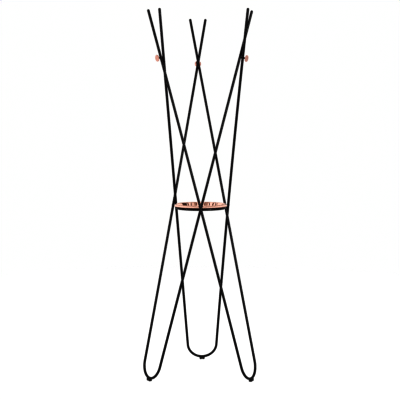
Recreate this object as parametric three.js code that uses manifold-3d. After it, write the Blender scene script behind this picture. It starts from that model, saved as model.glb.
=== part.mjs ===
// Standing coat rack. Three bent-rod hairpins lean together and cross each other twice: at the
// waist, where they are screwed to a ring that holds a lift-out tray, and near the top, where
// each crossing carries a round coat knob. Millimetres, +Z up, origin on the floor.
import * as THREE from 'three';
import { mergeVertices } from 'three/addons/utils/BufferGeometryUtils.js';
import Module from 'manifold-3d';

// ---------------------------------------------------------------- driving dimensions

const FIT_GAP = 0.3; // kept between pieces that touch
const AXIS_Z = new THREE.Vector3(0, 0, 1);

// Hairpin: a round rod bent into a U at the floor, with two long arms that spread upwards.
const ROD_RADIUS = 6;
const FOOT_RADIUS = 285.2; // stand's axis to the bottom of the bend
const FOOT_HEIGHT = 14; // floor to the rod's centreline at the bottom of the bend
const BEND_RADIUS = 75.5;
const ARM_LENGTH = 1752; // end of the bend to the start of the domed tip
const ARM_SPLAY = THREE.MathUtils.degToRad(4.3); // arm from the hairpin's middle line
const LEAN_IN = THREE.MathUtils.degToRad(14.3); // middle line from the vertical, towards the axis
const LEAN_SIDE = THREE.MathUtils.degToRad(-0.6);
const TWIST = THREE.MathUtils.degToRad(-3.23); // hairpin's plane about its middle line
const OUTER_ARM_BOW = 6.65; // the outer arm is sprung towards the inner one by this at mid-length
const ARM_STEPS = 5;
const BEND_STEPS = 14;
const ROD_SIDES = 14;
const TIP_SINK = 0.15; // the domed tip is this much slimmer than the rod

// Fasteners.
const SCREW_RADIUS = 2.5;
const BORE_RADIUS = SCREW_RADIUS + FIT_GAP;
const BLIND_END = 3.5; // a stud or screw ends this far past the centreline of the last rod
const HEAD_RADIUS = 4.75;
const HEAD_HEIGHT = 2.8;
const HEAD_SEAT = 3.6; // outer rod's centreline to the spot-faced seat of the head
const SOCKET_RADIUS = 1.75; // hexagonal key socket, to its corners
const SOCKET_DEPTH = 1.6;
const SPACER_RADIUS = 4.5;
const ROUND_SIDES = 16;
const BORE_SIDES = 12;
const SPACE_SIDES = 24; // round the space kept for a rod that a sleeve is hollowed to fit
const PAST = 2; // a cutting tool runs this far past the surface that it cuts

// Button head of the waist screw, as shares of its radius and height, from its seat to its top.
const HEAD_OUTLINE = [[1, 0], [1, 0.2], [0.85, 0.6], [0.55, 1]];

// Knob.
const KNOB_RADIUS = 16;
const KNOB_THICKNESS = 5;
const KNOB_EDGE_RADIUS = 2.2;
const KNOB_EDGE_ANGLES = [-55, 0, 55]; // points round the edge, in degrees from its middle
const KNOB_REACH = 20.6; // outer rod's centreline to the middle of the knob
const KNOB_SIDES = 30;
const COLLAR_RADIUS = 4;
const STUD_IN_KNOB = 3;

// Ring and tray.
const RING_RADIUS = 118; // centreline
const RING_TUBE_RADIUS = 6;
const RING_HEIGHT = 830.5;
const TURNS = 48; // facets round the ring and the tray, a multiple of three
const RING_SIDES = 12;
const TRAY_SHEET = 1.2;
const TRAY_RADIUS = 130.4;
const TRAY_EDGE_HEIGHT = 837.9; // lower edge of the turned-down rim
const TRAY_CREST_RADIUS = 122.4;
const TRAY_CREST_HEIGHT = 849.5;
const TRAY_FLOOR_HEIGHT = 826.8; // underside of the tray's floor
const TRAY_WALL_LEAN = THREE.MathUtils.degToRad(31.7); // from the vertical
const TRAY_FLOOR_BEND = 5; // the floor starts to curve up this far inside the wall
const TRAY_WALL_BEND = 4; // and is on the wall's line this far above the floor
const TRAY_CREST_BEND = 3.5; // the wall starts to curve over this far below the crest
const TRAY_SHOULDER = 4.2; // how far the crest runs outwards before the rim turns down
const TRAY_RIM_DROP = 3.6; // below the crest, where the rim's curve aims straight down
const TRAY_DIVISIONS = 3; // points along each curve of the section

// Floor glide.
const GLIDE_FLOOR_LENGTH = 23;
const GLIDE_TOP_LENGTH = 28;
const GLIDE_WIDTH = 14;
const GLIDE_HEIGHT = 12;
const GLIDE_RELIEF_LENGTH = 8;
const GLIDE_RELIEF_DEPTH = 1.5;

// The stand repeats every 120 degrees. A station is one hairpin, its foot, and the two
// crossings that its outer arm makes with its neighbours' inner arms.
const STATIONS = [
  { azimuth: 90, foot: 'rear', waist: 'rear_right', top: 'right' },
  { azimuth: 210, foot: 'left', waist: 'rear_left', top: 'rear' },
  { azimuth: 330, foot: 'right', waist: 'front', top: 'left' },
];
const THIRD_TURN = (2 * Math.PI) / 3;

// The two crossings lie near these shares of an arm's length. Their exact places are searched for.
const WAIST_SHARE = 0.44;
const CROWN_SHARE = 0.87;
const SEARCH_ROUNDS = 8;
const SEARCH_STEP = 1e-3; // share of an arm over which its direction is taken

// ---------------------------------------------------------------- materials

const blackRod = new THREE.MeshStandardMaterial({ color: 0x0b0b0c, roughness: 0.38, metalness: 0.5 });
const blackScrew = new THREE.MeshStandardMaterial({ color: 0x141415, roughness: 0.45, metalness: 0.9 });
const copper = new THREE.MeshStandardMaterial({ color: 0xe0937a, roughness: 0.08, metalness: 1 });
const blackPlastic = new THREE.MeshStandardMaterial({ color: 0x0d0d0e, roughness: 0.6, metalness: 0 });

// ---------------------------------------------------------------- solids

const WELD_DISTANCE = 1e-4; // vertices closer than this are one vertex

const wasm = await Module();
wasm.setup();

/** A closed geometry as a manifold solid, for joining and cutting. */
function solidOf(geometry) {
  const bare = geometry.clone();
  bare.deleteAttribute('normal');
  bare.deleteAttribute('uv');
  const merged = mergeVertices(bare, WELD_DISTANCE);
  return new wasm.Manifold(new wasm.Mesh({
    numProp: 3,
    vertProperties: new Float32Array(merged.attributes.position.array),
    triVerts: new Uint32Array(merged.index.array),
  }));
}

/** A manifold solid as a geometry. */
function geometryOf(solid) {
  const mesh = solid.getMesh();
  const geometry = new THREE.BufferGeometry();
  geometry.setAttribute('position', new THREE.BufferAttribute(new Float32Array(mesh.vertProperties), 3));
  geometry.setIndex(new THREE.BufferAttribute(new Uint32Array(mesh.triVerts), 1));
  geometry.computeVertexNormals();
  return geometry;
}

/** The first geometry with every other one cut away from it. */
function cut(geometry, ...tools) {
  const solid = tools.reduce((body, tool) => body.subtract(solidOf(tool)), solidOf(geometry));
  return geometryOf(solid);
}

/** All the geometries joined into one. */
function join(...geometries) {
  return geometryOf(geometries.map(solidOf).reduce((body, other) => body.add(other)));
}

/** A geometry made along +Z, moved so that its own origin and +Z lie on the axis given. */
function onAxis(geometry, axis) {
  const turn = new THREE.Quaternion().setFromUnitVectors(AXIS_Z, axis.direction);
  return geometry.applyQuaternion(turn).translate(...axis.origin.toArray());
}

/** A round bar along +Z between two heights. */
function bar(radius, low, high, sides = ROUND_SIDES) {
  const geometry = new THREE.CylinderGeometry(radius, radius, high - low, sides);
  return geometry.rotateX(Math.PI / 2).translate(0, 0, (low + high) / 2);
}

/** A bore for a fastener along +Z between two heights. */
function bore(low, high) {
  return bar(BORE_RADIUS, low, high, BORE_SIDES);
}

/** A solid of revolution about +Z from [radius, height] points, listed up its outer side. */
function turned(points, sides = ROUND_SIDES) {
  const profile = points.map(([radius, height]) => new THREE.Vector2(radius, height));
  return new THREE.LatheGeometry(profile, sides).rotateX(Math.PI / 2);
}

// ---------------------------------------------------------------- hairpin's centreline

/** The directions and points that set out a hairpin whose foot lies on +X. */
function layOutHairpin() {
  const foot = new THREE.Vector3(FOOT_RADIUS, 0, FOOT_HEIGHT);
  const middle = new THREE.Vector3(
    -Math.sin(LEAN_IN) * Math.cos(LEAN_SIDE),
    Math.sin(LEAN_SIDE),
    Math.cos(LEAN_IN) * Math.cos(LEAN_SIDE),
  );
  const level = new THREE.Vector3(0, 1, 0);
  const across = level.addScaledVector(middle, -level.dot(middle)).normalize();
  across.applyAxisAngle(middle, -TWIST);
  const bendCentre = foot.clone().addScaledVector(middle, BEND_RADIUS);
  return { foot, middle, across, bendCentre };
}

const hairpin = layOutHairpin();

/** A point of the bend, at an angle from its lowest point towards the inner arm. */
function bendPoint(angle) {
  return hairpin.bendCentre.clone()
    .addScaledVector(hairpin.across, BEND_RADIUS * Math.sin(angle))
    .addScaledVector(hairpin.middle, -BEND_RADIUS * Math.cos(angle));
}

/** A point of an arm: side is +1 for the inner arm and -1 for the outer, share is 0 to 1. */
function armPoint(side, share) {
  const bow = side < 0 ? 4 * share * (1 - share) * OUTER_ARM_BOW : 0;
  const reach = share * ARM_LENGTH;
  return bendPoint(side * (Math.PI / 2 - ARM_SPLAY))
    .addScaledVector(hairpin.across, side * (reach * Math.sin(ARM_SPLAY) - bow))
    .addScaledVector(hairpin.middle, reach * Math.cos(ARM_SPLAY));
}

/** The rod's centreline from one tip to the other, with its steps set by shape, not by length. */
class RodPath extends THREE.Curve {
  static steps = 2 * ARM_STEPS + BEND_STEPS;

  getUtoTmapping(share) {
    return share;
  }

  getPoint(share, target = new THREE.Vector3()) {
    const step = share * RodPath.steps;
    if (step < ARM_STEPS) {
      return target.copy(armPoint(-1, 1 - step / ARM_STEPS));
    }
    if (step > ARM_STEPS + BEND_STEPS) {
      return target.copy(armPoint(1, (step - ARM_STEPS - BEND_STEPS) / ARM_STEPS));
    }
    const sweep = Math.PI / 2 - ARM_SPLAY;
    return target.copy(bendPoint(((step - ARM_STEPS) / BEND_STEPS * 2 - 1) * sweep));
  }
}

/** A rod of the radius given along the whole centreline. */
function rodAlongPath(radius) {
  const section = new THREE.Shape().absarc(0, 0, radius, 0, 2 * Math.PI);
  return new THREE.ExtrudeGeometry(section, {
    steps: RodPath.steps,
    curveSegments: ROD_SIDES / 2,
    extrudePath: new RodPath(),
    bevelEnabled: false,
  });
}

// ---------------------------------------------------------------- crossings

/** An arm as a straight line near a share of its length, turned about +Z by an angle. */
function armLine(side, share, turn) {
  const origin = armPoint(side, share);
  const ahead = armPoint(side, share + SEARCH_STEP).sub(origin).divideScalar(SEARCH_STEP);
  return { origin: origin.applyAxisAngle(AXIS_Z, turn), ahead: ahead.applyAxisAngle(AXIS_Z, turn) };
}

/** Where the outer arm passes closest to the inner arm of the hairpin a turn away. */
function crossingWith(turn, firstGuess) {
  let outerShare = firstGuess;
  let innerShare = firstGuess;
  for (let round = 0; round < SEARCH_ROUNDS; round += 1) {
    const outer = armLine(-1, outerShare, 0);
    const inner = armLine(1, innerShare, turn);
    const apart = inner.origin.clone().sub(outer.origin);
    const a = outer.ahead.dot(outer.ahead);
    const b = outer.ahead.dot(inner.ahead);
    const c = inner.ahead.dot(inner.ahead);
    const alongOuter = apart.dot(outer.ahead);
    const alongInner = apart.dot(inner.ahead);
    const scale = a * c - b * b;
    outerShare += (c * alongOuter - b * alongInner) / scale;
    innerShare += (b * alongOuter - a * alongInner) / scale;
  }
  const outer = armLine(-1, outerShare, 0);
  const inner = armLine(1, innerShare, turn);
  return {
    outer: { origin: outer.origin, direction: outer.ahead.normalize() },
    inner: { origin: inner.origin, direction: inner.ahead.normalize() },
  };
}

/** Space that a rod needs near a crossing, a fit gap larger than the rod. */
function rodSpace(rod) {
  const halfLength = 4 * ROD_RADIUS;
  return onAxis(bar(ROD_RADIUS + FIT_GAP, -halfLength, halfLength, SPACE_SIDES), rod);
}

/** The same axis turned about +Z. */
function turnedAxis(axis, turn) {
  return {
    origin: axis.origin.clone().applyAxisAngle(AXIS_Z, turn),
    direction: axis.direction.clone().applyAxisAngle(AXIS_Z, turn),
  };
}

const waist = crossingWith(-THIRD_TURN, WAIST_SHARE);
const crown = crossingWith(THIRD_TURN, CROWN_SHARE);

// The knob stands square to both rods. Its axis starts on the outer rod and points outwards.
const knobAxis = {
  origin: crown.outer.origin,
  direction: crown.outer.origin.clone().sub(crown.inner.origin).normalize(),
};
const crownPitch = crown.outer.origin.distanceTo(crown.inner.origin);

// The waist screw runs from the middle of the crossing to the ring's centreline.
function layOutWaistAxis() {
  const middle = waist.outer.origin.clone().add(waist.inner.origin).multiplyScalar(0.5);
  const plan = new THREE.Vector3(middle.x, middle.y, 0).setLength(RING_RADIUS);
  const onRing = plan.setZ(RING_HEIGHT);
  const direction = middle.clone().sub(onRing).normalize();
  return { origin: middle, direction, toRing: middle.distanceTo(onRing) };
}

const waistAxis = layOutWaistAxis();
const waistPitch = waist.outer.origin.distanceTo(waist.inner.origin);

// ---------------------------------------------------------------- pieces of a station

/** One hairpin, with domed tips, drilled for the fasteners of its four crossings. */
function makeHairpin() {
  const dome = new THREE.SphereGeometry(ROD_RADIUS - TIP_SINK, ROD_SIDES, ROD_SIDES / 2);
  const outerTip = dome.clone().translate(...armPoint(-1, 1).toArray());
  const innerTip = dome.clone().translate(...armPoint(1, 1).toArray());
  const rod = join(rodAlongPath(ROD_RADIUS), outerTip, innerTip);
  const reach = ROD_RADIUS + PAST;
  const knobBore = onAxis(bore(-reach, reach), knobAxis);
  const knobBlind = onAxis(
    bore(-crownPitch - BLIND_END - FIT_GAP, -crownPitch + reach),
    turnedAxis(knobAxis, -THIRD_TURN),
  );
  const outerCentre = waistPitch / 2;
  const screwBore = onAxis(bore(outerCentre - reach, outerCentre + reach), waistAxis);
  const seat = onAxis(
    bar(HEAD_RADIUS + FIT_GAP, outerCentre + HEAD_SEAT, outerCentre + reach),
    waistAxis,
  );
  const screwThrough = onAxis(
    bore(-outerCentre - reach, -outerCentre + reach),
    turnedAxis(waistAxis, THIRD_TURN),
  );
  return cut(rod, knobBore, knobBlind, screwBore, seat, screwThrough);
}

/** A pad under the bend: a block with sloping ends, hollowed on top to hold the rod. */
function makeFloorGlide() {
  const outline = new THREE.Shape();
  outline.moveTo(GLIDE_FLOOR_LENGTH / 2, 0);
  outline.lineTo(GLIDE_TOP_LENGTH / 2, GLIDE_HEIGHT / 2);
  outline.lineTo(GLIDE_TOP_LENGTH / 2, GLIDE_HEIGHT);
  outline.lineTo(-GLIDE_TOP_LENGTH / 2, GLIDE_HEIGHT);
  outline.lineTo(-GLIDE_TOP_LENGTH / 2, GLIDE_HEIGHT / 2);
  outline.lineTo(-GLIDE_FLOOR_LENGTH / 2, 0);
  outline.lineTo(-GLIDE_RELIEF_LENGTH / 2, 0);
  outline.lineTo(-GLIDE_RELIEF_LENGTH / 2, GLIDE_RELIEF_DEPTH);
  outline.lineTo(GLIDE_RELIEF_LENGTH / 2, GLIDE_RELIEF_DEPTH);
  outline.lineTo(GLIDE_RELIEF_LENGTH / 2, 0);
  const block = new THREE.ExtrudeGeometry(outline, { depth: GLIDE_WIDTH, bevelEnabled: false });
  block.translate(0, 0, -GLIDE_WIDTH / 2);
  block.rotateX(Math.PI / 2); // the outline stands upright, its length along +X
  block.rotateZ(Math.atan2(hairpin.across.y, hairpin.across.x));
  block.translate(hairpin.foot.x, hairpin.foot.y, 0);
  return cut(block, rodAlongPath(ROD_RADIUS + FIT_GAP));
}

/** A copper disc with rounded edges and a blind hole for its stud. */
function makeKnob() {
  const back = KNOB_REACH - KNOB_THICKNESS / 2;
  const front = KNOB_REACH + KNOB_THICKNESS / 2;
  const flat = KNOB_RADIUS - KNOB_EDGE_RADIUS;
  const profile = [[0, back], [flat, back]];
  for (const angle of KNOB_EDGE_ANGLES) {
    const turn = THREE.MathUtils.degToRad(angle);
    profile.push([
      flat + KNOB_EDGE_RADIUS * Math.cos(turn),
      KNOB_REACH + (KNOB_THICKNESS / 2) * Math.sin(turn),
    ]);
  }
  profile.push([flat, front], [0, front]);
  const hole = bore(back - PAST, back + STUD_IN_KNOB + FIT_GAP);
  return onAxis(cut(turned(profile, KNOB_SIDES), hole), knobAxis);
}

/** The black sleeve that holds the knob away from the outer rod. */
function makeKnobCollar() {
  const end = KNOB_REACH - KNOB_THICKNESS / 2 - FIT_GAP;
  const start = ROD_RADIUS - PAST;
  const sleeve = cut(bar(COLLAR_RADIUS, start, end), bore(start - PAST, end + PAST));
  return cut(onAxis(sleeve, knobAxis), rodSpace(crown.outer));
}

/** The threaded pin from the inner rod, through the outer rod, into the knob. */
function makeKnobStud() {
  const start = -crownPitch - BLIND_END;
  const end = KNOB_REACH - KNOB_THICKNESS / 2 + STUD_IN_KNOB;
  return onAxis(bar(SCREW_RADIUS, start, end, BORE_SIDES), knobAxis);
}

/** A bored distance piece between two heights of an axis, hollowed to fit its neighbours. */
function makeDistancePiece(axis, low, high, ...neighbours) {
  const sleeve = cut(bar(SPACER_RADIUS, low, high), bore(low - PAST, high + PAST));
  return cut(onAxis(sleeve, axis), ...neighbours);
}

/** The short distance piece between the two rods that carry a knob. */
function makeCrownSpacer() {
  const rods = [crown.outer, crown.inner].map(rodSpace);
  return makeDistancePiece(knobAxis, -crownPitch + PAST, -PAST, ...rods);
}

/** The short distance piece between the two rods that cross at the waist. */
function makeWaistSpacer() {
  const rods = [waist.outer, waist.inner].map(rodSpace);
  const half = waistPitch / 2 - PAST;
  return makeDistancePiece(waistAxis, -half, half, ...rods);
}

/** The longer distance piece between the inner rod and the ring. */
function makeRingStandoff() {
  const low = -waistAxis.toRing + PAST;
  const high = -waistPitch / 2 - PAST;
  const ring = ringTube(RING_TUBE_RADIUS + FIT_GAP);
  return makeDistancePiece(waistAxis, low, high, rodSpace(waist.inner), ring);
}

/** A button-head socket screw, seated in the outer rod and ending inside the ring. */
function makeWaistScrew() {
  const seat = waistPitch / 2 + HEAD_SEAT + FIT_GAP;
  const end = -waistAxis.toRing - BLIND_END;
  const top = seat + HEAD_HEIGHT;
  const screw = turned([
    [0, end],
    [SCREW_RADIUS, end],
    [SCREW_RADIUS, seat],
    ...HEAD_OUTLINE.map(([out, up]) => [out * HEAD_RADIUS, seat + up * HEAD_HEIGHT]),
    [0, top],
  ]);
  const socket = bar(SOCKET_RADIUS, top - SOCKET_DEPTH, top + PAST, 6);
  return onAxis(cut(screw, socket), waistAxis);
}

// ---------------------------------------------------------------- ring and tray

/** A ring of the tube radius given, at the height of the stand's ring. */
function ringTube(radius) {
  return new THREE.TorusGeometry(RING_RADIUS, radius, RING_SIDES, TURNS).translate(0, 0, RING_HEIGHT);
}

/** The stand's ring, with a blind hole facing each waist screw. */
function makeSupportRing() {
  const holes = STATIONS.map(({ azimuth }) => {
    const end = -waistAxis.toRing - BLIND_END - FIT_GAP;
    const hole = bore(end, -waistAxis.toRing + RING_TUBE_RADIUS + PAST);
    return onAxis(hole, turnedAxis(waistAxis, THREE.MathUtils.degToRad(azimuth)));
  });
  return cut(ringTube(RING_TUBE_RADIUS), ...holes);
}

/**
 * The middle line of the tray's sheet, from its centre to its edge: a flat floor, a wall that
 * leans outwards and rests on the ring, a rounded crest, and a rim turned down outside it.
 */
function traySection() {
  const floor = TRAY_FLOOR_HEIGHT + TRAY_SHEET / 2;
  const crest = TRAY_CREST_HEIGHT - TRAY_SHEET / 2;
  const edge = TRAY_RADIUS - TRAY_SHEET / 2;
  const lean = Math.tan(TRAY_WALL_LEAN);
  const standOff = RING_TUBE_RADIUS + FIT_GAP + TRAY_SHEET / 2;
  const seatRadius = RING_RADIUS - standOff * Math.cos(TRAY_WALL_LEAN);
  const seatHeight = RING_HEIGHT + standOff * Math.sin(TRAY_WALL_LEAN);
  const wallRadius = (height) => seatRadius + (height - seatHeight) * lean;
  const section = new THREE.Path();
  section.moveTo(0, floor);
  const wallStart = floor + TRAY_WALL_BEND;
  const wallEnd = crest - TRAY_CREST_BEND;
  section.lineTo(wallRadius(floor) - TRAY_FLOOR_BEND, floor);
  section.quadraticCurveTo(wallRadius(floor), floor, wallRadius(wallStart), wallStart);
  section.lineTo(wallRadius(wallEnd), wallEnd);
  section.quadraticCurveTo(wallRadius(crest), crest, TRAY_CREST_RADIUS, crest);
  section.bezierCurveTo(
    TRAY_CREST_RADIUS + TRAY_SHOULDER, crest,
    edge, crest - TRAY_RIM_DROP,
    edge, TRAY_EDGE_HEIGHT,
  );
  return section;
}

/** The closed outline of a sheet whose middle line is given, one thickness across. */
function sheetOutline(section, thickness, divisions) {
  const middle = section.getPoints(divisions);
  const normals = middle.map((point, index) => {
    const before = middle[Math.max(index - 1, 0)];
    const after = middle[Math.min(index + 1, middle.length - 1)];
    const ahead = after.clone().sub(before).normalize();
    return new THREE.Vector2(ahead.y, -ahead.x);
  });
  const side = (sign) => middle.map((point, index) => {
    const moved = point.clone().addScaledVector(normals[index], sign * thickness / 2);
    return [Math.max(moved.x, 0), moved.y];
  });
  return [...side(1), ...side(-1).reverse()];
}

/** The spun tray. */
function makeTray() {
  return turned(sheetOutline(traySection(), TRAY_SHEET, TRAY_DIVISIONS), TURNS);
}

// ---------------------------------------------------------------- assembly

/** Adds a named piece to a group. */
function addPiece(group, name, geometry, material) {
  const mesh = new THREE.Mesh(geometry, material);
  mesh.name = name;
  group.add(mesh);
}

const stationPieces = [
  { name: ({ foot }) => `hairpin_${foot}`, geometry: makeHairpin(), material: blackRod },
  { name: ({ foot }) => `floor_glide_${foot}`, geometry: makeFloorGlide(), material: blackPlastic },
  { name: ({ waist: at }) => `waist_screw_${at}`, geometry: makeWaistScrew(), material: blackScrew },
  { name: ({ waist: at }) => `waist_spacer_${at}`, geometry: makeWaistSpacer(), material: blackRod },
  { name: ({ waist: at }) => `ring_standoff_${at}`, geometry: makeRingStandoff(), material: blackRod },
  { name: ({ top }) => `coat_knob_${top}`, geometry: makeKnob(), material: copper },
  { name: ({ top }) => `knob_collar_${top}`, geometry: makeKnobCollar(), material: blackRod },
  { name: ({ top }) => `knob_stud_${top}`, geometry: makeKnobStud(), material: blackScrew },
  { name: ({ top }) => `crown_spacer_${top}`, geometry: makeCrownSpacer(), material: blackRod },
];

const stand = new THREE.Group();
for (const station of STATIONS) {
  const group = new THREE.Group();
  group.rotation.z = THREE.MathUtils.degToRad(station.azimuth);
  for (const { name, geometry, material } of stationPieces) {
    addPiece(group, name(station), geometry, material);
  }
  stand.add(group);
}
addPiece(stand, 'support_ring', makeSupportRing(), blackRod);
addPiece(stand, 'tray', makeTray(), copper);

// The three feet aren't centred on the stand's axis as seen in plan, so the stand is moved to
// put the origin in the middle of its footprint box.
const footprint = new THREE.Box3().setFromObject(stand, true);
const middle = footprint.getCenter(new THREE.Vector3());
stand.position.set(-middle.x, -middle.y, -footprint.min.z);

const coatRack = new THREE.Group();
coatRack.add(stand);

export default coatRack;
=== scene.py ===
"""Looks of a standing coat rack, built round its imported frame. Metres, +Z up."""

import math

import bmesh
import bpy
from mathutils import Matrix, Vector


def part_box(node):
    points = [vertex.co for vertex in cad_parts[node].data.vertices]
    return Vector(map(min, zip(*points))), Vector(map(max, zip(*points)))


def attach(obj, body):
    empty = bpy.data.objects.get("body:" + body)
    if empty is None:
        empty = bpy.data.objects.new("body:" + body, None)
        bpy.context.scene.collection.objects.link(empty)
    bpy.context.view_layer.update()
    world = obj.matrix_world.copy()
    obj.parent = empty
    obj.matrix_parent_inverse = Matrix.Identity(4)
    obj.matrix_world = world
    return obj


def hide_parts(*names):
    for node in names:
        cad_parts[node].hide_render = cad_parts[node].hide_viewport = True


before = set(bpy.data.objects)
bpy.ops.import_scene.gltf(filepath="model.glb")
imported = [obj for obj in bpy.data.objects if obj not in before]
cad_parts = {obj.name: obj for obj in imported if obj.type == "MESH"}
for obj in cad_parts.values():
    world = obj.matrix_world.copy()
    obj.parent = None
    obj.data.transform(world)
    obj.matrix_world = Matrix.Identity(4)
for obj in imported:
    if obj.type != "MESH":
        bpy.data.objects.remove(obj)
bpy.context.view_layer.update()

# ---------------------------------------------------------------- dimensions of the design

ROD_RADIUS = 0.006
FOOT_RADIUS = 0.2852
FOOT_HEIGHT = 0.014
BEND_RADIUS = 0.0755
ARM_LENGTH = 1.752
ARM_SPLAY = math.radians(4.3)
LEAN_IN = math.radians(14.3)
LEAN_SIDE = math.radians(-0.6)
TWIST = math.radians(-3.23)
OUTER_ARM_BOW = 0.00665

FIT_GAP = 0.0003
SCREW_RADIUS = 0.0025
BORE_RADIUS = SCREW_RADIUS + FIT_GAP
BLIND_END = 0.0035
HEAD_RADIUS = 0.00475
HEAD_HEIGHT = 0.0028
HEAD_SEAT = 0.0036
SOCKET_RADIUS = 0.00175
SOCKET_DEPTH = 0.0016
THREAD_PITCH = 0.0008
THREAD_DEPTH = 0.00022
SPACER_RADIUS = 0.0045

KNOB_RADIUS = 0.016
KNOB_THICKNESS = 0.005
KNOB_EDGE_RADIUS = 0.0022
KNOB_REACH = 0.0206
COLLAR_RADIUS = 0.004
STUD_IN_KNOB = 0.003

TRAY_SHEET = 0.0012
TRAY_CREST_RADIUS = 0.1224
TRAY_EDGE_HEIGHT = 0.8379
TRAY_WALL_LEAN = math.radians(31.7)
TRAY_FLOOR_BEND = 0.005
TRAY_WALL_BEND = 0.004
TRAY_CREST_BEND = 0.0035
TRAY_SHOULDER = 0.0042
TRAY_RIM_DROP = 0.0036

GLIDE_FLOOR_LENGTH = 0.023
GLIDE_TOP_LENGTH = 0.028
GLIDE_WIDTH = 0.014
GLIDE_HEIGHT = 0.012
GLIDE_RELIEF_LENGTH = 0.008
GLIDE_RELIEF_DEPTH = 0.0015

UP = Vector((0, 0, 1))
THIRD_TURN = 2 * math.pi / 3

# A station is one hairpin, its foot, and the two crossings of its outer arm.
STATIONS = (
    {"azimuth": 90, "foot": "rear", "waist": "rear_right", "top": "right"},
    {"azimuth": 210, "foot": "left", "waist": "rear_left", "top": "rear"},
    {"azimuth": 330, "foot": "right", "waist": "front", "top": "left"},
)

# ---------------------------------------------------------------- places read from the frame

ring_low, ring_high = (Vector(corner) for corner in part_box("support_ring"))
tray_low, tray_high = (Vector(corner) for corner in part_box("tray"))
RING_TUBE_RADIUS = (ring_high.z - ring_low.z) / 2
RING_RADIUS = (ring_high.x - ring_low.x) / 2 - RING_TUBE_RADIUS
RING_HEIGHT = (ring_high.z + ring_low.z) / 2
TRAY_RADIUS = (tray_high.x - tray_low.x) / 2
STAND_AXIS = Vector(((ring_low.x + ring_high.x) / 2, (ring_low.y + ring_high.y) / 2, 0))


def station_place(station):
    """The matrix that takes a piece of the hairpin on +X to its place in the stand."""
    turn = Matrix.Rotation(math.radians(station["azimuth"]), 4, "Z")
    return Matrix.Translation(STAND_AXIS) @ turn


# ---------------------------------------------------------------- materials

# The colour sockets of a mix node.
FIRST_COLOUR = 6
SECOND_COLOUR = 7
MIXED_COLOUR = 2


class Nodes:
    """A short way to write a material's node tree."""

    def __init__(self, name):
        self.material = bpy.data.materials.new(name)
        self.material.use_nodes = True
        self.tree = self.material.node_tree
        self.shader = self.tree.nodes["Principled BSDF"]

    def add(self, kind, **inputs):
        """A node with its sockets set to values or linked to other nodes' outputs."""
        node = self.tree.nodes.new(kind)
        self.fill(node, inputs)
        return node

    def fill(self, node, inputs):
        """Sets or links a node's sockets, named with underscores for spaces."""
        for name, value in inputs.items():
            socket = node.inputs[name.replace("_", " ")]
            if isinstance(value, bpy.types.NodeSocket):
                self.tree.links.new(value, socket)
            else:
                socket.default_value = value

    def place(self):
        """The point of the object that is shaded."""
        return self.add("ShaderNodeTexCoord").outputs["Object"]

    def noise(self, scale, detail=2.0, roughness=0.5):
        """Noise between 0 and 1, over the object."""
        node = self.add("ShaderNodeTexNoise", Vector=self.place())
        self.fill(node, {"Scale": scale, "Detail": detail, "Roughness": roughness})
        return node.outputs["Fac"]

    def span(self, value, low, high, start=0.3, end=0.7):
        """The value between start and end, spread from low to high."""
        node = self.add("ShaderNodeMapRange", Value=value)
        self.fill(node, {"From_Min": start, "From_Max": end, "To_Min": low, "To_Max": high})
        return node.outputs["Result"]

    def blend(self, share, first, second):
        """A colour between two."""
        node = self.add("ShaderNodeMix")
        node.data_type = "RGBA"
        self.tree.links.new(share, node.inputs["Factor"])
        node.inputs[FIRST_COLOUR].default_value = (*first, 1)
        node.inputs[SECOND_COLOUR].default_value = (*second, 1)
        return node.outputs[MIXED_COLOUR]

    def bump(self, height, distance, strength=1.0, before=None):
        """A normal raised by a height, on top of another bump if there is one before it."""
        node = self.add("ShaderNodeBump", Height=height, Distance=distance, Strength=strength)
        if before is not None:
            self.tree.links.new(before, node.inputs["Normal"])
        return node.outputs["Normal"]


def make_powder_coat():
    """Satin black powder coat: a fine orange peel, slightly uneven gloss, faint dust-grey mottling."""
    n = Nodes("black_powder_coat")
    peel = n.noise(1500, detail=3)
    patches = n.noise(45, detail=4, roughness=0.6)
    grain = n.noise(5200, detail=1)
    normal = n.bump(peel, 0.00006, 0.7)
    n.fill(n.shader, {
        "Base_Color": n.blend(patches, (0.003, 0.003, 0.0033), (0.007, 0.007, 0.0076)),
        "Roughness": n.span(patches, 0.28, 0.38),
        "Specular_IOR_Level": 0.24,
        "Normal": n.bump(grain, 0.00001, 0.5, before=normal),
    })
    return n.material


def make_black_oxide():
    """Black-oxide steel for the fasteners: a tone that varies at random with wear, lathe marks in the
    bump, and a dull metal sheen.
    """
    n = Nodes("black_oxide_steel")
    wear = n.noise(700, detail=4)
    marks = n.noise(2600, detail=2)
    n.fill(n.shader, {
        "Base_Color": n.blend(wear, (0.018, 0.018, 0.02), (0.05, 0.048, 0.046)),
        "Metallic": 0.9,
        "Roughness": n.span(wear, 0.34, 0.5),
        "Normal": n.bump(marks, 0.00002, 0.5),
    })
    return n.material


def make_moulded_plastic():
    """Matt moulded nylon with a spark-eroded grain."""
    n = Nodes("black_moulded_nylon")
    grain = n.noise(2200, detail=3)
    scuffs = n.noise(160, detail=4)
    n.fill(n.shader, {
        "Base_Color": n.blend(scuffs, (0.006, 0.006, 0.0065), (0.016, 0.016, 0.017)),
        "Roughness": n.span(scuffs, 0.5, 0.66),
        "Specular_IOR_Level": 0.4,
        "Normal": n.bump(grain, 0.00005, 0.8),
    })
    return n.material


SPIN_RING_SCALE = 420


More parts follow.
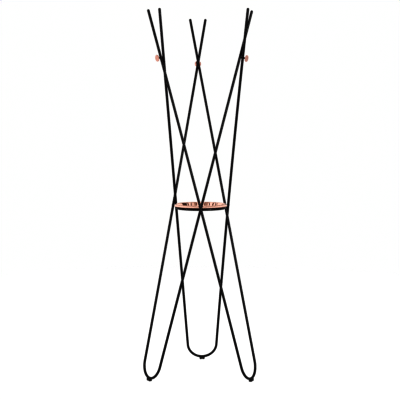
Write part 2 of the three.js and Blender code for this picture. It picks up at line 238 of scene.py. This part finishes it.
def make_copper(name, tones, roughness, ring_depth):
    """Polished copper: two close tones, tiny rings left by spinning or turning, faint wipe marks."""
    n = Nodes(name)
    place = n.add("ShaderNodeVectorMath", Vector=n.place())
    place.operation = "SUBTRACT"
    place.inputs[1].default_value = STAND_AXIS
    rings = n.add("ShaderNodeTexWave", Vector=place.outputs["Vector"])
    n.fill(rings, {"Scale": SPIN_RING_SCALE, "Distortion": 0.6})
    rings.wave_type = "RINGS"
    rings.rings_direction = "Z"
    wipes = n.noise(26, detail=5, roughness=0.62)
    tone = n.noise(9, detail=2)
    n.fill(n.shader, {
        "Base_Color": n.blend(tone, *tones),
        "Metallic": 1.0,
        "Roughness": n.span(wipes, *roughness, start=0.35, end=0.75),
        "Normal": n.bump(rings.outputs["Fac"], ring_depth, 0.35),
    })
    return n.material


def make_floor_material():
    """A matt white floor, lit mostly from within, that fades out into the white round it."""
    n = Nodes("pale_floor")
    n.fill(n.shader, {
        "Base_Color": (0.12, 0.12, 0.12, 1),
        "Roughness": 0.9,
        "Specular_IOR_Level": 0.1,
        "Emission_Color": (1, 1, 1, 1),
        "Emission_Strength": 0.91,
    })
    distance = n.add("ShaderNodeVectorMath", Vector=n.place())
    distance.operation = "LENGTH"
    share = n.span(distance.outputs["Value"], 0, 1, start=FLOOR_SOLID, end=FLOOR_RADIUS)
    clear = n.add("ShaderNodeBsdfTransparent")
    mix = n.add("ShaderNodeMixShader")
    n.tree.links.new(share, mix.inputs[0])
    n.tree.links.new(n.shader.outputs[0], mix.inputs[1])
    n.tree.links.new(clear.outputs[0], mix.inputs[2])
    output = n.tree.nodes["Material Output"]
    n.tree.links.new(mix.outputs[0], output.inputs["Surface"])
    return n.material


# ---------------------------------------------------------------- mesh code

SHARP_EDGE = math.radians(38)
WELD_DISTANCE = 1e-7


def show(name, verts, faces, material, replaces, slot, body="stand"):
    """Makes a piece of mesh that stands for a CAD node, and puts it on its body."""
    mesh = bpy.data.meshes.new(name)
    mesh.from_pydata(verts, [], faces)
    shell = bmesh.new()
    shell.from_mesh(mesh)
    bmesh.ops.remove_doubles(shell, verts=shell.verts, dist=WELD_DISTANCE)
    bmesh.ops.recalc_face_normals(shell, faces=shell.faces)
    shell.to_mesh(mesh)
    shell.free()
    mesh.shade_smooth()
    mesh.set_sharp_from_angle(angle=SHARP_EDGE)
    mesh.materials.append(material)
    piece = bpy.data.objects.new(name, mesh)
    bpy.context.scene.collection.objects.link(piece)
    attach(piece, body)
    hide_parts(replaces)
    return piece


def loft(rings, ring_to_ring=False):
    """Vertices and faces of a skin over equal rings of points, each ring closed on itself.

    Its ends are capped, or else the last ring is joined to the first.
    """
    size = len(rings[0])
    verts = [point for ring in rings for point in ring]
    faces = []
    spans = len(rings) if ring_to_ring else len(rings) - 1
    for row in range(spans):
        this = row * size
        following = (row + 1) % len(rings) * size
        for column in range(size):
            beside = (column + 1) % size
            faces.append((this + column, this + beside, following + beside, following + column))
    if not ring_to_ring:
        faces.append(tuple(range(size)))
        faces.append(tuple(range(len(verts) - size, len(verts))))
    return verts, faces


def moved(matrix, mesh_data):
    """Mesh data with its vertices moved."""
    verts, faces = mesh_data
    return [matrix @ vert for vert in verts], faces


def turned(profile, segments, closed=False):
    """A skin turned about +Z from (radius, height) points. A closed profile returns to its start."""
    verts = []
    rows = []
    for radius, height in profile:
        start = len(verts)
        if radius < WELD_DISTANCE:
            verts.append(Vector((0, 0, height)))
            rows.append([start] * segments)
            continue
        for step in range(segments):
            angle = 2 * math.pi * step / segments
            verts.append(Vector((radius * math.cos(angle), radius * math.sin(angle), height)))
        rows.append(list(range(start, start + segments)))
    pairs = list(zip(rows, rows[1:]))
    if closed:
        pairs.append((rows[-1], rows[0]))
    faces = []
    for lower, upper in pairs:
        for step in range(segments):
            beside = (step + 1) % segments
            corners = (lower[step], lower[beside], upper[beside], upper[step])
            face = tuple(dict.fromkeys(corners))
            if len(face) > 2:
                faces.append(face)
    return verts, faces


def sweep(points, radii, sides):
    """Rings of a round section along a line of points, carried along it without twist."""
    rings = []
    side = None
    last = len(points) - 1
    for index, (point, radius) in enumerate(zip(points, radii)):
        tangent = (points[min(index + 1, last)] - points[max(index - 1, 0)]).normalized()
        side = tangent.orthogonal() if side is None else side - tangent * side.dot(tangent)
        side = side.normalized()
        other = tangent.cross(side)
        rings.append([
            point + (side * math.cos(angle) + other * math.sin(angle)) * radius
            for angle in (2 * math.pi * step / sides for step in range(sides))
        ])
    return rings


# ---------------------------------------------------------------- hairpins

def lay_out_hairpin():
    """The directions and points that set out a hairpin whose foot lies on +X."""
    middle = Vector((
        -math.sin(LEAN_IN) * math.cos(LEAN_SIDE),
        math.sin(LEAN_SIDE),
        math.cos(LEAN_IN) * math.cos(LEAN_SIDE),
    ))
    level = Vector((0, 1, 0))
    across = (level - middle * level.dot(middle)).normalized()
    across = Matrix.Rotation(-TWIST, 3, middle) @ across
    foot = Vector((FOOT_RADIUS, 0, FOOT_HEIGHT))
    return middle, across, foot, foot + middle * BEND_RADIUS


MIDDLE, ACROSS, FOOT, BEND_CENTRE = lay_out_hairpin()
BEND_SWEEP = math.pi / 2 - ARM_SPLAY


def bend_point(angle):
    """A point of the bend, at an angle from its lowest point towards the inner arm."""
    return BEND_CENTRE + (ACROSS * math.sin(angle) - MIDDLE * math.cos(angle)) * BEND_RADIUS


def arm_point(side, share):
    """A point of an arm: side is 1 for the inner arm and -1 for the outer, share is 0 to 1."""
    bow = 4 * share * (1 - share) * OUTER_ARM_BOW if side < 0 else 0
    reach = share * ARM_LENGTH
    sideways = side * (reach * math.sin(ARM_SPLAY) - bow)
    return bend_point(side * BEND_SWEEP) + ACROSS * sideways + MIDDLE * reach * math.cos(ARM_SPLAY)


ROD_SIDES = 40
ARM_STEPS = 28
BEND_STEPS = 56
DOME_STEPS = 9
DOME_SWEEP = math.radians(88)
DOME_HEIGHT = 0.00585


def make_hairpin_mesh():
    """One bent rod from domed tip to domed tip."""
    line = [arm_point(-1, 1 - step / ARM_STEPS) for step in range(ARM_STEPS)]
    line += [bend_point((2 * step / BEND_STEPS - 1) * BEND_SWEEP) for step in range(BEND_STEPS)]
    line += [arm_point(1, step / ARM_STEPS) for step in range(ARM_STEPS + 1)]
    first_way = (line[0] - line[1]).normalized()
    last_way = (line[-1] - line[-2]).normalized()
    dome = [DOME_SWEEP * step / DOME_STEPS for step in range(1, DOME_STEPS + 1)]
    start = [line[0] + first_way * DOME_HEIGHT * math.sin(angle) for angle in reversed(dome)]
    end = [line[-1] + last_way * DOME_HEIGHT * math.sin(angle) for angle in dome]
    start_radii = [ROD_RADIUS * math.cos(angle) for angle in reversed(dome)]
    end_radii = [ROD_RADIUS * math.cos(angle) for angle in dome]
    radii = start_radii + [ROD_RADIUS] * len(line) + end_radii
    return loft(sweep(start + line + end, radii, ROD_SIDES))


# ---------------------------------------------------------------- crossings

# Where to start the search for each crossing, as a share of the arms' length.
CROWN_SHARE = 0.87
WAIST_SHARE = 0.44
SEARCH_STEP = 1e-3
SEARCH_ROUNDS = 8


def arm_line(side, share, turn):
    """A point of an arm turned about +Z, and its change with share."""
    rotation = Matrix.Rotation(turn, 3, "Z")
    point = arm_point(side, share)
    ahead = (arm_point(side, share + SEARCH_STEP) - point) / SEARCH_STEP
    return rotation @ point, rotation @ ahead


def crossing_with(turn, guess):
    """Where the outer arm passes closest to the inner arm of the hairpin a turn away."""
    outer_share = inner_share = guess
    for _ in range(SEARCH_ROUNDS):
        outer, outer_ahead = arm_line(-1, outer_share, 0)
        inner, inner_ahead = arm_line(1, inner_share, turn)
        apart = inner - outer
        a = outer_ahead.dot(outer_ahead)
        b = outer_ahead.dot(inner_ahead)
        c = inner_ahead.dot(inner_ahead)
        along_outer = apart.dot(outer_ahead)
        along_inner = apart.dot(inner_ahead)
        scale = a * c - b * b
        outer_share += (c * along_outer - b * along_inner) / scale
        inner_share += (b * along_outer - a * along_inner) / scale
    outer, outer_ahead = arm_line(-1, outer_share, 0)
    inner, inner_ahead = arm_line(1, inner_share, turn)
    return (outer, outer_ahead.normalized()), (inner, inner_ahead.normalized())


CROWN_OUTER, CROWN_INNER = crossing_with(THIRD_TURN, CROWN_SHARE)
WAIST_OUTER, WAIST_INNER = crossing_with(-THIRD_TURN, WAIST_SHARE)
CROWN_PITCH = (CROWN_OUTER[0] - CROWN_INNER[0]).length
WAIST_PITCH = (WAIST_OUTER[0] - WAIST_INNER[0]).length
KNOB_WAY = (CROWN_OUTER[0] - CROWN_INNER[0]).normalized()

WAIST_MIDDLE = (WAIST_OUTER[0] + WAIST_INNER[0]) / 2
RING_POINT = Vector((WAIST_MIDDLE.x, WAIST_MIDDLE.y, 0)).normalized() * RING_RADIUS + UP * RING_HEIGHT
WAIST_WAY = (WAIST_MIDDLE - RING_POINT).normalized()
TO_RING = (WAIST_MIDDLE - RING_POINT).length


def along(origin, way):
    """The matrix that puts a piece made along +Z on an axis."""
    return Matrix.Translation(origin) @ UP.rotation_difference(way).to_matrix().to_4x4()


ON_KNOB_AXIS = along(CROWN_OUTER[0], KNOB_WAY)
ON_WAIST_AXIS = along(WAIST_MIDDLE, WAIST_WAY)


def to_rod(place, rod, side):
    """The height over a point across an axis at which it meets a rod, on its far or near side."""
    inverse = place.inverted()
    centre = inverse @ rod[0]
    way = inverse.to_3x3() @ rod[1]

    def height(across):
        start = Vector((across.x, across.y, 0)) - centre
        lateral = start - way * start.dot(way)
        rise = UP - way * way.z
        a = rise.dot(rise)
        b = lateral.dot(rise)
        c = lateral.dot(lateral) - (ROD_RADIUS + FIT_GAP / 2) ** 2
        return (-b + side * math.sqrt(max(b * b - a * c, 0))) / a

    return height


def to_plane(level):
    """The height of a flat end."""
    return lambda across: level


def to_ring(place):
    """The height over a point across the waist axis at which it meets the ring's outer side."""
    def height(across):
        top = place @ Vector((across.x, across.y, -TO_RING + RING_TUBE_RADIUS))
        outward = Vector((top.x, top.y, 0)).length - RING_RADIUS
        upward = top.z - RING_HEIGHT
        away = math.hypot(outward, upward) - RING_TUBE_RADIUS - FIT_GAP / 2
        return -TO_RING + RING_TUBE_RADIUS - away

    return height


SLEEVE_SEGMENTS = 48
SLEEVE_EDGE = 0.00035


def make_sleeve(radius, low, high):
    """A bored sleeve whose ends follow what they meet, with softened outer edges."""
    rings = []
    for ring_radius, end, inset in (
        (BORE_RADIUS, low, 0),
        (radius - SLEEVE_EDGE, low, 0),
        (radius, low, SLEEVE_EDGE),
        (radius, high, -SLEEVE_EDGE),
        (radius - SLEEVE_EDGE, high, 0),
        (BORE_RADIUS, high, 0),
    ):
        ring = []
        for step in range(SLEEVE_SEGMENTS):
            angle = 2 * math.pi * step / SLEEVE_SEGMENTS
            across = Vector((ring_radius * math.cos(angle), ring_radius * math.sin(angle), 0))
            ring.append(across + UP * (end(across) + inset))
        rings.append(ring)
    return loft(rings, ring_to_ring=True)


def make_collar_mesh():
    """The sleeve between the outer rod and the knob."""
    seat = to_rod(ON_KNOB_AXIS, CROWN_OUTER, 1)
    back = to_plane(KNOB_REACH - KNOB_THICKNESS / 2 - FIT_GAP / 2)
    return moved(ON_KNOB_AXIS, make_sleeve(COLLAR_RADIUS, seat, back))


def make_crown_spacer_mesh():
    """The sleeve between the two rods of a top crossing."""
    low = to_rod(ON_KNOB_AXIS, CROWN_INNER, 1)
    high = to_rod(ON_KNOB_AXIS, CROWN_OUTER, -1)
    return moved(ON_KNOB_AXIS, make_sleeve(SPACER_RADIUS, low, high))


def make_waist_spacer_mesh():
    """The sleeve between the two rods of a waist crossing."""
    low = to_rod(ON_WAIST_AXIS, WAIST_INNER, 1)
    high = to_rod(ON_WAIST_AXIS, WAIST_OUTER, -1)
    return moved(ON_WAIST_AXIS, make_sleeve(SPACER_RADIUS, low, high))


def make_ring_standoff_mesh():
    """The sleeve between the ring and the inner rod of a waist crossing."""
    low = to_ring(ON_WAIST_AXIS)
    high = to_rod(ON_WAIST_AXIS, WAIST_INNER, -1)
    return moved(ON_WAIST_AXIS, make_sleeve(SPACER_RADIUS, low, high))


# ---------------------------------------------------------------- knobs, studs and screws

# Points of the knob's flat sides: share of the flat part's radius, and depth below it.
KNOB_BACK = ((0.5, 0), (0.9, 0))
KNOB_FACE = ((0.93, 0), (0.6, 0.00008), (0.3, 0.00013), (0, 0.00015))
KNOB_EDGE_STEPS = 18
KNOB_SEGMENTS = 96

SCREW_SEGMENTS = 48
STUD_SEGMENTS = 24
HEAD_EDGE = 0.0002
HEAD_RIM = 0.0004
HEAD_CROWN_ANGLES = (4, 62)
HEAD_CROWN_RISE = 0.883  # the sine of the crown's last angle
HEAD_CROWN_STEPS = 12
SOCKET_CHAMFER = 0.00015


def arc(centre_radius, centre_height, radius, start, end, steps, squash=1.0):
    """Points of a profile round a corner, with angles in degrees from the outward direction."""
    points = []
    for step in range(steps + 1):
        angle = math.radians(start + (end - start) * step / steps)
        points.append((
            centre_radius + radius * math.cos(angle),
            centre_height + radius * squash * math.sin(angle),
        ))
    return points


def make_knob_mesh():
    """A turned disc: rounded rim, a faintly dished face with a soft shoulder, a bored back."""
    half = KNOB_THICKNESS / 2
    flat = KNOB_RADIUS - KNOB_EDGE_RADIUS
    back = -half
    hole_end = back + STUD_IN_KNOB + FIT_GAP
    profile = [(0, hole_end), (BORE_RADIUS, hole_end), (BORE_RADIUS, back)]
    profile += [(flat * share, back + depth) for share, depth in KNOB_BACK]
    squash = half / KNOB_EDGE_RADIUS
    profile += arc(flat, 0, KNOB_EDGE_RADIUS, -90, 90, KNOB_EDGE_STEPS, squash)
    profile += [(flat * share, half - depth) for share, depth in KNOB_FACE]
    place = ON_KNOB_AXIS @ Matrix.Translation(UP * KNOB_REACH)
    return moved(place, turned(profile, KNOB_SEGMENTS))


def make_stud_mesh():
    """The threaded pin through a top crossing and into the knob."""
    start = -CROWN_PITCH - BLIND_END
    end = KNOB_REACH - KNOB_THICKNESS / 2 + STUD_IN_KNOB
    return moved(ON_KNOB_AXIS, turned(threaded_profile(start, end), STUD_SEGMENTS))


def threaded_profile(start, end):
    """The profile of a threaded shank, as ridges, with a chamfer at its start."""
    chamfer = 2 * THREAD_DEPTH
    root = SCREW_RADIUS - THREAD_DEPTH
    profile = [(0, start), (SCREW_RADIUS - chamfer, start), (root, start + THREAD_DEPTH)]
    ridges = int((end - start - chamfer) / THREAD_PITCH)
    for ridge in range(ridges):
        foot = start + chamfer + ridge * THREAD_PITCH
        profile.append((root, foot))
        profile.append((SCREW_RADIUS, foot + THREAD_PITCH / 2))
    profile += [(root, end), (0, end)]
    return profile


def make_waist_screw_mesh():
    """A button-head screw with a six-sided socket."""
    seat = WAIST_PITCH / 2 + HEAD_SEAT + FIT_GAP
    end = -TO_RING - BLIND_END
    top = seat + HEAD_HEIGHT
    shank = threaded_profile(end, seat)[1:-1]
    head = [(SCREW_RADIUS, seat), (HEAD_RADIUS - HEAD_EDGE, seat), (HEAD_RADIUS, seat + HEAD_EDGE)]
    squash = (HEAD_HEIGHT - HEAD_RIM) / (HEAD_RADIUS * HEAD_CROWN_RISE)
    head += arc(0, seat + HEAD_RIM, HEAD_RADIUS, *HEAD_CROWN_ANGLES, HEAD_CROWN_STEPS, squash)
    rings = [round_ring(radius, height) for radius, height in shank + head]
    rings.append(six_sided_ring(SOCKET_RADIUS + SOCKET_CHAMFER, top))
    rings.append(six_sided_ring(SOCKET_RADIUS, top - SOCKET_CHAMFER))
    rings.append(six_sided_ring(SOCKET_RADIUS, top - SOCKET_DEPTH))
    return moved(ON_WAIST_AXIS, loft(rings))


def round_ring(radius, height):
    """Points round a circle."""
    return [
        Vector((radius * math.cos(angle), radius * math.sin(angle), height))
        for angle in (2 * math.pi * step / SCREW_SEGMENTS for step in range(SCREW_SEGMENTS))
    ]


def six_sided_ring(corner_radius, height):
    """Points round a hexagon, with a point at each corner."""
    ring = []
    sixth = math.pi / 3
    for point in round_ring(1, height):
        angle = math.atan2(point.y, point.x) % sixth - sixth / 2
        radius = corner_radius * math.cos(sixth / 2) / math.cos(angle)
        ring.append(Vector((point.x * radius, point.y * radius, height)))
    return ring


# ---------------------------------------------------------------- ring and tray

RING_SIDES = 32
RING_SEGMENTS = 144
TRAY_SEGMENTS = 240
TRAY_FLOOR_SHARES = (0, 0.05, 0.25, 0.5, 0.75, 0.9, 1)
TRAY_BEND_STEPS = 12
TRAY_WALL_STEPS = 5
TRAY_RIM_STEPS = 20
TRAY_LIP_ANGLES = (60, 30, 0, -30, -60)


def make_ring_mesh():
    """The ring of round bar that carries the tray."""
    profile = arc(RING_RADIUS, RING_HEIGHT, RING_TUBE_RADIUS, 0, 360, RING_SIDES)[:-1]
    return moved(Matrix.Translation(STAND_AXIS), turned(profile, RING_SEGMENTS, closed=True))


def bezier(points, steps):
    """Points of a Bezier curve of any degree, without its first."""
    curve = []
    for step in range(1, steps + 1):
        share = step / steps
        level = list(points)
        while len(level) > 1:
            level = [start.lerp(end, share) for start, end in zip(level, level[1:])]
        curve.append(level[0])
    return curve


def tray_section():
    """The middle line of the tray's sheet: floor, leaning wall, rounded crest, turned-down rim."""
    floor = tray_low.z + TRAY_SHEET / 2
    crest = tray_high.z - TRAY_SHEET / 2
    edge = TRAY_RADIUS - TRAY_SHEET / 2
    lean = math.tan(TRAY_WALL_LEAN)
    stand_off = RING_TUBE_RADIUS + FIT_GAP + TRAY_SHEET / 2
    seat_radius = RING_RADIUS - stand_off * math.cos(TRAY_WALL_LEAN)
    seat_height = RING_HEIGHT + stand_off * math.sin(TRAY_WALL_LEAN)

    def wall(height):
        return Vector((seat_radius + (height - seat_height) * lean, height))

    foot = wall(floor)
    top = wall(crest)
    inset = Vector((TRAY_FLOOR_BEND, 0))
    line = [Vector((share * (foot.x - inset.x), floor)) for share in TRAY_FLOOR_SHARES]
    line += bezier([foot - inset, foot, wall(floor + TRAY_WALL_BEND)], TRAY_BEND_STEPS)
    wall_end = wall(crest - TRAY_CREST_BEND)
    line += bezier([line[-1], wall_end], TRAY_WALL_STEPS)
    line += bezier([wall_end, top, Vector((TRAY_CREST_RADIUS, crest))], TRAY_BEND_STEPS)
    line += bezier([
        line[-1],
        Vector((TRAY_CREST_RADIUS + TRAY_SHOULDER, crest)),
        Vector((edge, crest - TRAY_RIM_DROP)),
        Vector((edge, TRAY_EDGE_HEIGHT + TRAY_SHEET / 2)),
    ], TRAY_RIM_STEPS)
    return line


def make_tray_mesh():
    """The spun tray: an even sheet whose edge is rounded over."""
    line = tray_section()
    half = TRAY_SHEET / 2
    under = []
    over = []
    for index, point in enumerate(line):
        before = line[max(index - 1, 0)]
        after = line[min(index + 1, len(line) - 1)]
        ahead = (after - before).normalized()
        normal = Vector((ahead.y, -ahead.x)) * half
        if index == 0:
            normal = Vector((0, -half))
        under.append(point + normal)
        over.append(point - normal)
    last = line[-1]
    lip = [
        last + Vector((math.sin(angle) * -half, -math.cos(angle) * half))
        for angle in (math.radians(degrees) for degrees in TRAY_LIP_ANGLES)
    ]
    profile = [(max(point.x, 0), point.y) for point in over + lip + under[::-1]]
    return moved(Matrix.Translation(STAND_AXIS), turned(profile, TRAY_SEGMENTS))


# ---------------------------------------------------------------- floor glides

GLIDE_SECTIONS = 17
GLIDE_CORNER = 0.0012
GROOVE_STEPS = 12


def make_glide_mesh():
    """A pad with sloping, rounded ends, a relief across its middle and a groove for the rod."""
    level = Vector((ACROSS.x, ACROSS.y, 0)).normalized()
    inward = Vector((-level.y, level.x, 0))
    rings = []
    half_width = GLIDE_WIDTH / 2
    for step in range(GLIDE_SECTIONS):
        share = 2 * step / (GLIDE_SECTIONS - 1) - 1
        angle = math.asin(share * GLIDE_TOP_LENGTH / 2 / BEND_RADIUS)
        centre = bend_point(angle) - FOOT
        ring = glide_ring(share, centre.dot(inward), FOOT_HEIGHT + centre.z, half_width)
        rings.append([
            Vector((FOOT.x, FOOT.y, 0)) + level * along_it + inward * across + UP * height
            for along_it, across, height in ring
        ])
    return loft(rings)


def glide_ring(share, rod_across, rod_height, half_width):
    """One section of the glide, as (along, across, height) points."""
    at_top = share * GLIDE_TOP_LENGTH / 2
    at_floor = share * GLIDE_FLOOR_LENGTH / 2
    relief = 1 if abs(at_floor) < GLIDE_RELIEF_LENGTH / 2 else 0
    bottom = relief * GLIDE_RELIEF_DEPTH

    def along_it(height):
        slope = min(height / (GLIDE_HEIGHT / 2), 1)
        return at_floor + (at_top - at_floor) * slope

    groove = ROD_RADIUS + FIT_GAP / 2
    mouth = math.sqrt(max(groove ** 2 - (GLIDE_HEIGHT - rod_height) ** 2, 0))
    section = [(-half_width + GLIDE_CORNER, bottom), (half_width - GLIDE_CORNER, bottom)]
    section += [(half_width, bottom + GLIDE_CORNER), (half_width, GLIDE_HEIGHT - GLIDE_CORNER / 2)]
    section += [(half_width - GLIDE_CORNER / 2, GLIDE_HEIGHT), (rod_across + mouth, GLIDE_HEIGHT)]
    opening = math.atan2(mouth, rod_height - GLIDE_HEIGHT)
    for step in range(1, GROOVE_STEPS):
        turn = opening * (1 - 2 * step / GROOVE_STEPS)
        section.append((rod_across + groove * math.sin(turn), rod_height - groove * math.cos(turn)))
    section += [(rod_across - mouth, GLIDE_HEIGHT), (-half_width + GLIDE_CORNER / 2, GLIDE_HEIGHT)]
    section += [(-half_width, GLIDE_HEIGHT - GLIDE_CORNER / 2), (-half_width, bottom + GLIDE_CORNER)]
    return [(along_it(height), across, height) for across, height in section]


# ---------------------------------------------------------------- studio

FLOOR_SOLID = 1.3
FLOOR_RADIUS = 3.6
FLOOR_SEGMENTS = 96


def make_floor():
    """A round floor, solid under the stand."""
    verts, faces = turned([(0, 0), (FLOOR_SOLID, 0), (FLOOR_RADIUS, 0)], FLOOR_SEGMENTS)
    mesh = bpy.data.meshes.new("floor")
    mesh.from_pydata(verts, [], faces)
    mesh.materials.append(make_floor_material())
    floor = bpy.data.objects.new("floor", mesh)
    bpy.context.scene.collection.objects.link(floor)


# Lights round the stand's axis: name, place, width, height, power. The softboxes light all of the
# stand and aren't seen in it. The strips only put a sheen on the black pieces.
SOFTBOXES = (
    ("left_softbox", (-2.6, -2.2, 2.3), 1.4, 2.4, 18),
    ("right_softbox", (2.8, -1.6, 2.0), 1.0, 2.4, 15),
    ("top_softbox", (0, 0.3, 3.6), 2.4, 2.4, 27),
)
STRIPS = (
    ("right_strip", (2.4, -2.6, 1.7), 0.35, 2.0, 170),
    ("left_strip", (-2.9, -1.5, 1.5), 0.25, 1.8, 75),
)
LIGHTS_AIM = STAND_AXIS + UP * 0.9


def make_light(name, place, width, height, power, lit=None):
    """A lamp that faces the stand. Given a collection, it lights only that, and shows in it."""
    light = bpy.data.lights.new(name, "AREA")
    light.shape = "RECTANGLE"
    light.size = width
    light.size_y = height
    light.energy = power
    lamp = bpy.data.objects.new(name, light)
    lamp.visible_glossy = lit is not None
    lamp.light_linking.receiver_collection = lit
    lamp.location = STAND_AXIS + Vector(place)
    lamp.rotation_euler = (LIGHTS_AIM - lamp.location).to_track_quat("-Z", "Y").to_euler()
    bpy.context.scene.collection.objects.link(lamp)


# What the stand reflects: a bright room under a ceiling of light panels, with dim gaps between
# the panels. A gap runs along Y. Its middle and half-width are in units of the ceiling's height,
# and its depth is the share of the light that it takes away, or adds if it's below zero.
CEILING_GAPS = (
    (2.3, 0.6, -0.3),
    (1.26, 0.19, 0.86),
    (0.97, 0.06, 0.7),
    (0.68, 0.16, 0.16),
    (0.40, 0.14, 0.5),
    (-0.39, 0.18, 0.46),
    (-0.95, 0.06, 0.8),
    (-1.28, 0.04, 0.5),
    (-1.9, 0.14, 0.4),
    (-2.5, 0.4, -0.2),
)
GAP_TINT = (1, 0.7, 0.5)
GAP_EDGE_SLOPE = 3.0  # a gap has its full depth from a third of the way in
ROOM_LEVEL = 0.95
ROOM_SIDE_DROP = 0.13  # from the middle of the room to its right side
CEILING_LEVEL = 1.12
CEILING_RISE = 3.0  # how fast the room gives way to the ceiling as the view turns upwards
CEILING_BLEND = 0.3
LOWEST_RISE = 0.05


def make_world():
    """Plain white light, and for reflections the room with its ceiling of panels."""
    world = bpy.data.worlds.new("studio")
    world.use_nodes = True
    tree = world.node_tree
    nodes, links = tree.nodes, tree.links

    def math_node(operation, *values):
        node = nodes.new("ShaderNodeMath")
        node.operation = operation
        for socket, value in zip(node.inputs, values):
            if isinstance(value, bpy.types.NodeSocket):
                links.new(value, socket)
            else:
                socket.default_value = value
        return node.outputs[0]

    way = nodes.new("ShaderNodeSeparateXYZ")
    links.new(nodes.new("ShaderNodeTexCoord").outputs["Generated"], way.inputs[0])
    across = math_node("DIVIDE", way.outputs["X"], math_node("MAXIMUM", way.outputs["Z"], LOWEST_RISE))
    risen = math_node("MULTIPLY", way.outputs["Z"], CEILING_RISE)
    ceiling = math_node("MAXIMUM", math_node("SMOOTH_MIN", risen, 1.0, CEILING_BLEND), 0.0)
    gaps = 0.0
    for place, half_width, depth in CEILING_GAPS:
        off = math_node("ABSOLUTE", math_node("SUBTRACT", across, place))
        inside = math_node("SUBTRACT", 1.0, math_node("DIVIDE", off, half_width))
        edge = math_node("MULTIPLY", inside, GAP_EDGE_SLOPE)
        clipped = math_node("MINIMUM", math_node("MAXIMUM", edge, 0.0), 1.0)
        gaps = math_node("ADD", gaps, math_node("MULTIPLY", clipped, depth))
    panels = math_node("MULTIPLY", CEILING_LEVEL, math_node("SUBTRACT", 1.0, gaps))
    drop = math_node("MULTIPLY", way.outputs["X"], ROOM_SIDE_DROP)
    room = math_node("SUBTRACT", ROOM_LEVEL, drop)
    overhead = math_node("MULTIPLY", ceiling, panels)
    around = math_node("MULTIPLY", math_node("SUBTRACT", 1.0, ceiling), room)
    level = math_node("ADD", overhead, around)

    reflected = nodes["Background"]
    links.new(level, reflected.inputs["Strength"])
    tint = nodes.new("ShaderNodeMix")
    tint.data_type = "RGBA"
    links.new(math_node("MULTIPLY", ceiling, gaps), tint.inputs["Factor"])
    tint.inputs[FIRST_COLOUR].default_value = (1, 1, 1, 1)
    tint.inputs[SECOND_COLOUR].default_value = (*GAP_TINT, 1)
    links.new(tint.outputs[MIXED_COLOUR], reflected.inputs["Color"])
    white = nodes.new("ShaderNodeBackground")
    white.inputs["Color"].default_value = (1, 1, 1, 1)
    white.inputs["Strength"].default_value = 1.0
    mix = nodes.new("ShaderNodeMixShader")
    links.new(nodes.new("ShaderNodeLightPath").outputs["Is Glossy Ray"], mix.inputs[0])
    links.new(white.outputs[0], mix.inputs[1])
    links.new(reflected.outputs[0], mix.inputs[2])
    links.new(mix.outputs[0], nodes["World Output"].inputs["Surface"])
    bpy.context.scene.world = world


CAMERA_OFFSET = Vector((0.1010, -4.4829, 1.2134))  # from the foot of the stand's axis
CAMERA_HEADING = math.radians(-1.335)  # from +Y towards +X
CAMERA_PITCH = math.radians(4.404)  # downwards
CAMERA_ROLL = math.radians(0.056)
CAMERA_LENS = 82.15


def make_camera():
    """The photograph's camera."""
    camera = bpy.data.cameras.new("camera")
    camera.lens = CAMERA_LENS
    camera.sensor_width = 36
    camera.clip_end = 100
    holder = bpy.data.objects.new("camera", camera)
    heading = Matrix.Rotation(-CAMERA_HEADING, 4, "Z")
    pitch = Matrix.Rotation(math.pi / 2 - CAMERA_PITCH, 4, "X")
    roll = Matrix.Rotation(-CAMERA_ROLL, 4, "Z")
    holder.matrix_world = Matrix.Translation(STAND_AXIS + CAMERA_OFFSET) @ heading @ pitch @ roll
    bpy.context.scene.collection.objects.link(holder)
    bpy.context.scene.camera = holder


# ---------------------------------------------------------------- assembly

# The pieces that the strips light.
black_pieces = bpy.data.collections.new("black_pieces")

make_camera()
make_world()
make_floor()
for softbox in SOFTBOXES:
    make_light(*softbox)
for strip in STRIPS:
    make_light(*strip, lit=black_pieces)

powder_coat = make_powder_coat()
black_oxide = make_black_oxide()
nylon = make_moulded_plastic()
# The knobs' base tones are darker than the tray's: painted shade, standing in for the dimmer room that
# the knobs' faces reflect.
knob_copper_painted_shade = make_copper(
    "knob_copper_painted_shade",
    tones=((0.8, 0.513, 0.443), (0.813, 0.537, 0.47)),
    roughness=(0.1, 0.16),
    ring_depth=0.000001,
)
tray_copper = make_copper(
    "tray_copper",
    tones=((0.932, 0.675, 0.585), (0.947, 0.7, 0.613)),
    roughness=(0.02, 0.06),
    ring_depth=0.000004,
)

# Pieces made once and shown at all three stations: name, where, mesh, material, slot.
STATION_PIECES = (
    ("hairpin", "foot", make_hairpin_mesh(), powder_coat, "black_rod"),
    ("floor_glide", "foot", make_glide_mesh(), nylon, "black_plastic"),
    ("waist_screw", "waist", make_waist_screw_mesh(), black_oxide, "black_screw"),
    ("waist_spacer", "waist", make_waist_spacer_mesh(), powder_coat, "black_rod"),
    ("ring_standoff", "waist", make_ring_standoff_mesh(), powder_coat, "black_rod"),
    ("coat_knob", "top", make_knob_mesh(), knob_copper_painted_shade, "copper"),
    ("knob_collar", "top", make_collar_mesh(), powder_coat, "black_rod"),
    ("knob_stud", "top", make_stud_mesh(), black_oxide, "black_screw"),
    ("crown_spacer", "top", make_crown_spacer_mesh(), powder_coat, "black_rod"),
)

for station in STATIONS:
    place = station_place(station)
    for kind, where, mesh_data, material, slot in STATION_PIECES:
        node = f"{kind}_{station[where]}"
        verts, faces = moved(place, mesh_data)
        piece = show(f"fine_{node}", verts, faces, material, node, slot)
        if slot != "copper":
            black_pieces.objects.link(piece)

ring = show("fine_support_ring", *make_ring_mesh(), powder_coat, "support_ring", "black_rod")
black_pieces.objects.link(ring)
show("fine_tray", *make_tray_mesh(), tray_copper, "tray", "copper", body="tray")

# The photograph's strong contrast: a thin dark rod against white keeps its weight.
view = bpy.context.scene.view_settings
view.view_transform = "Standard"
view.gamma = 0.42
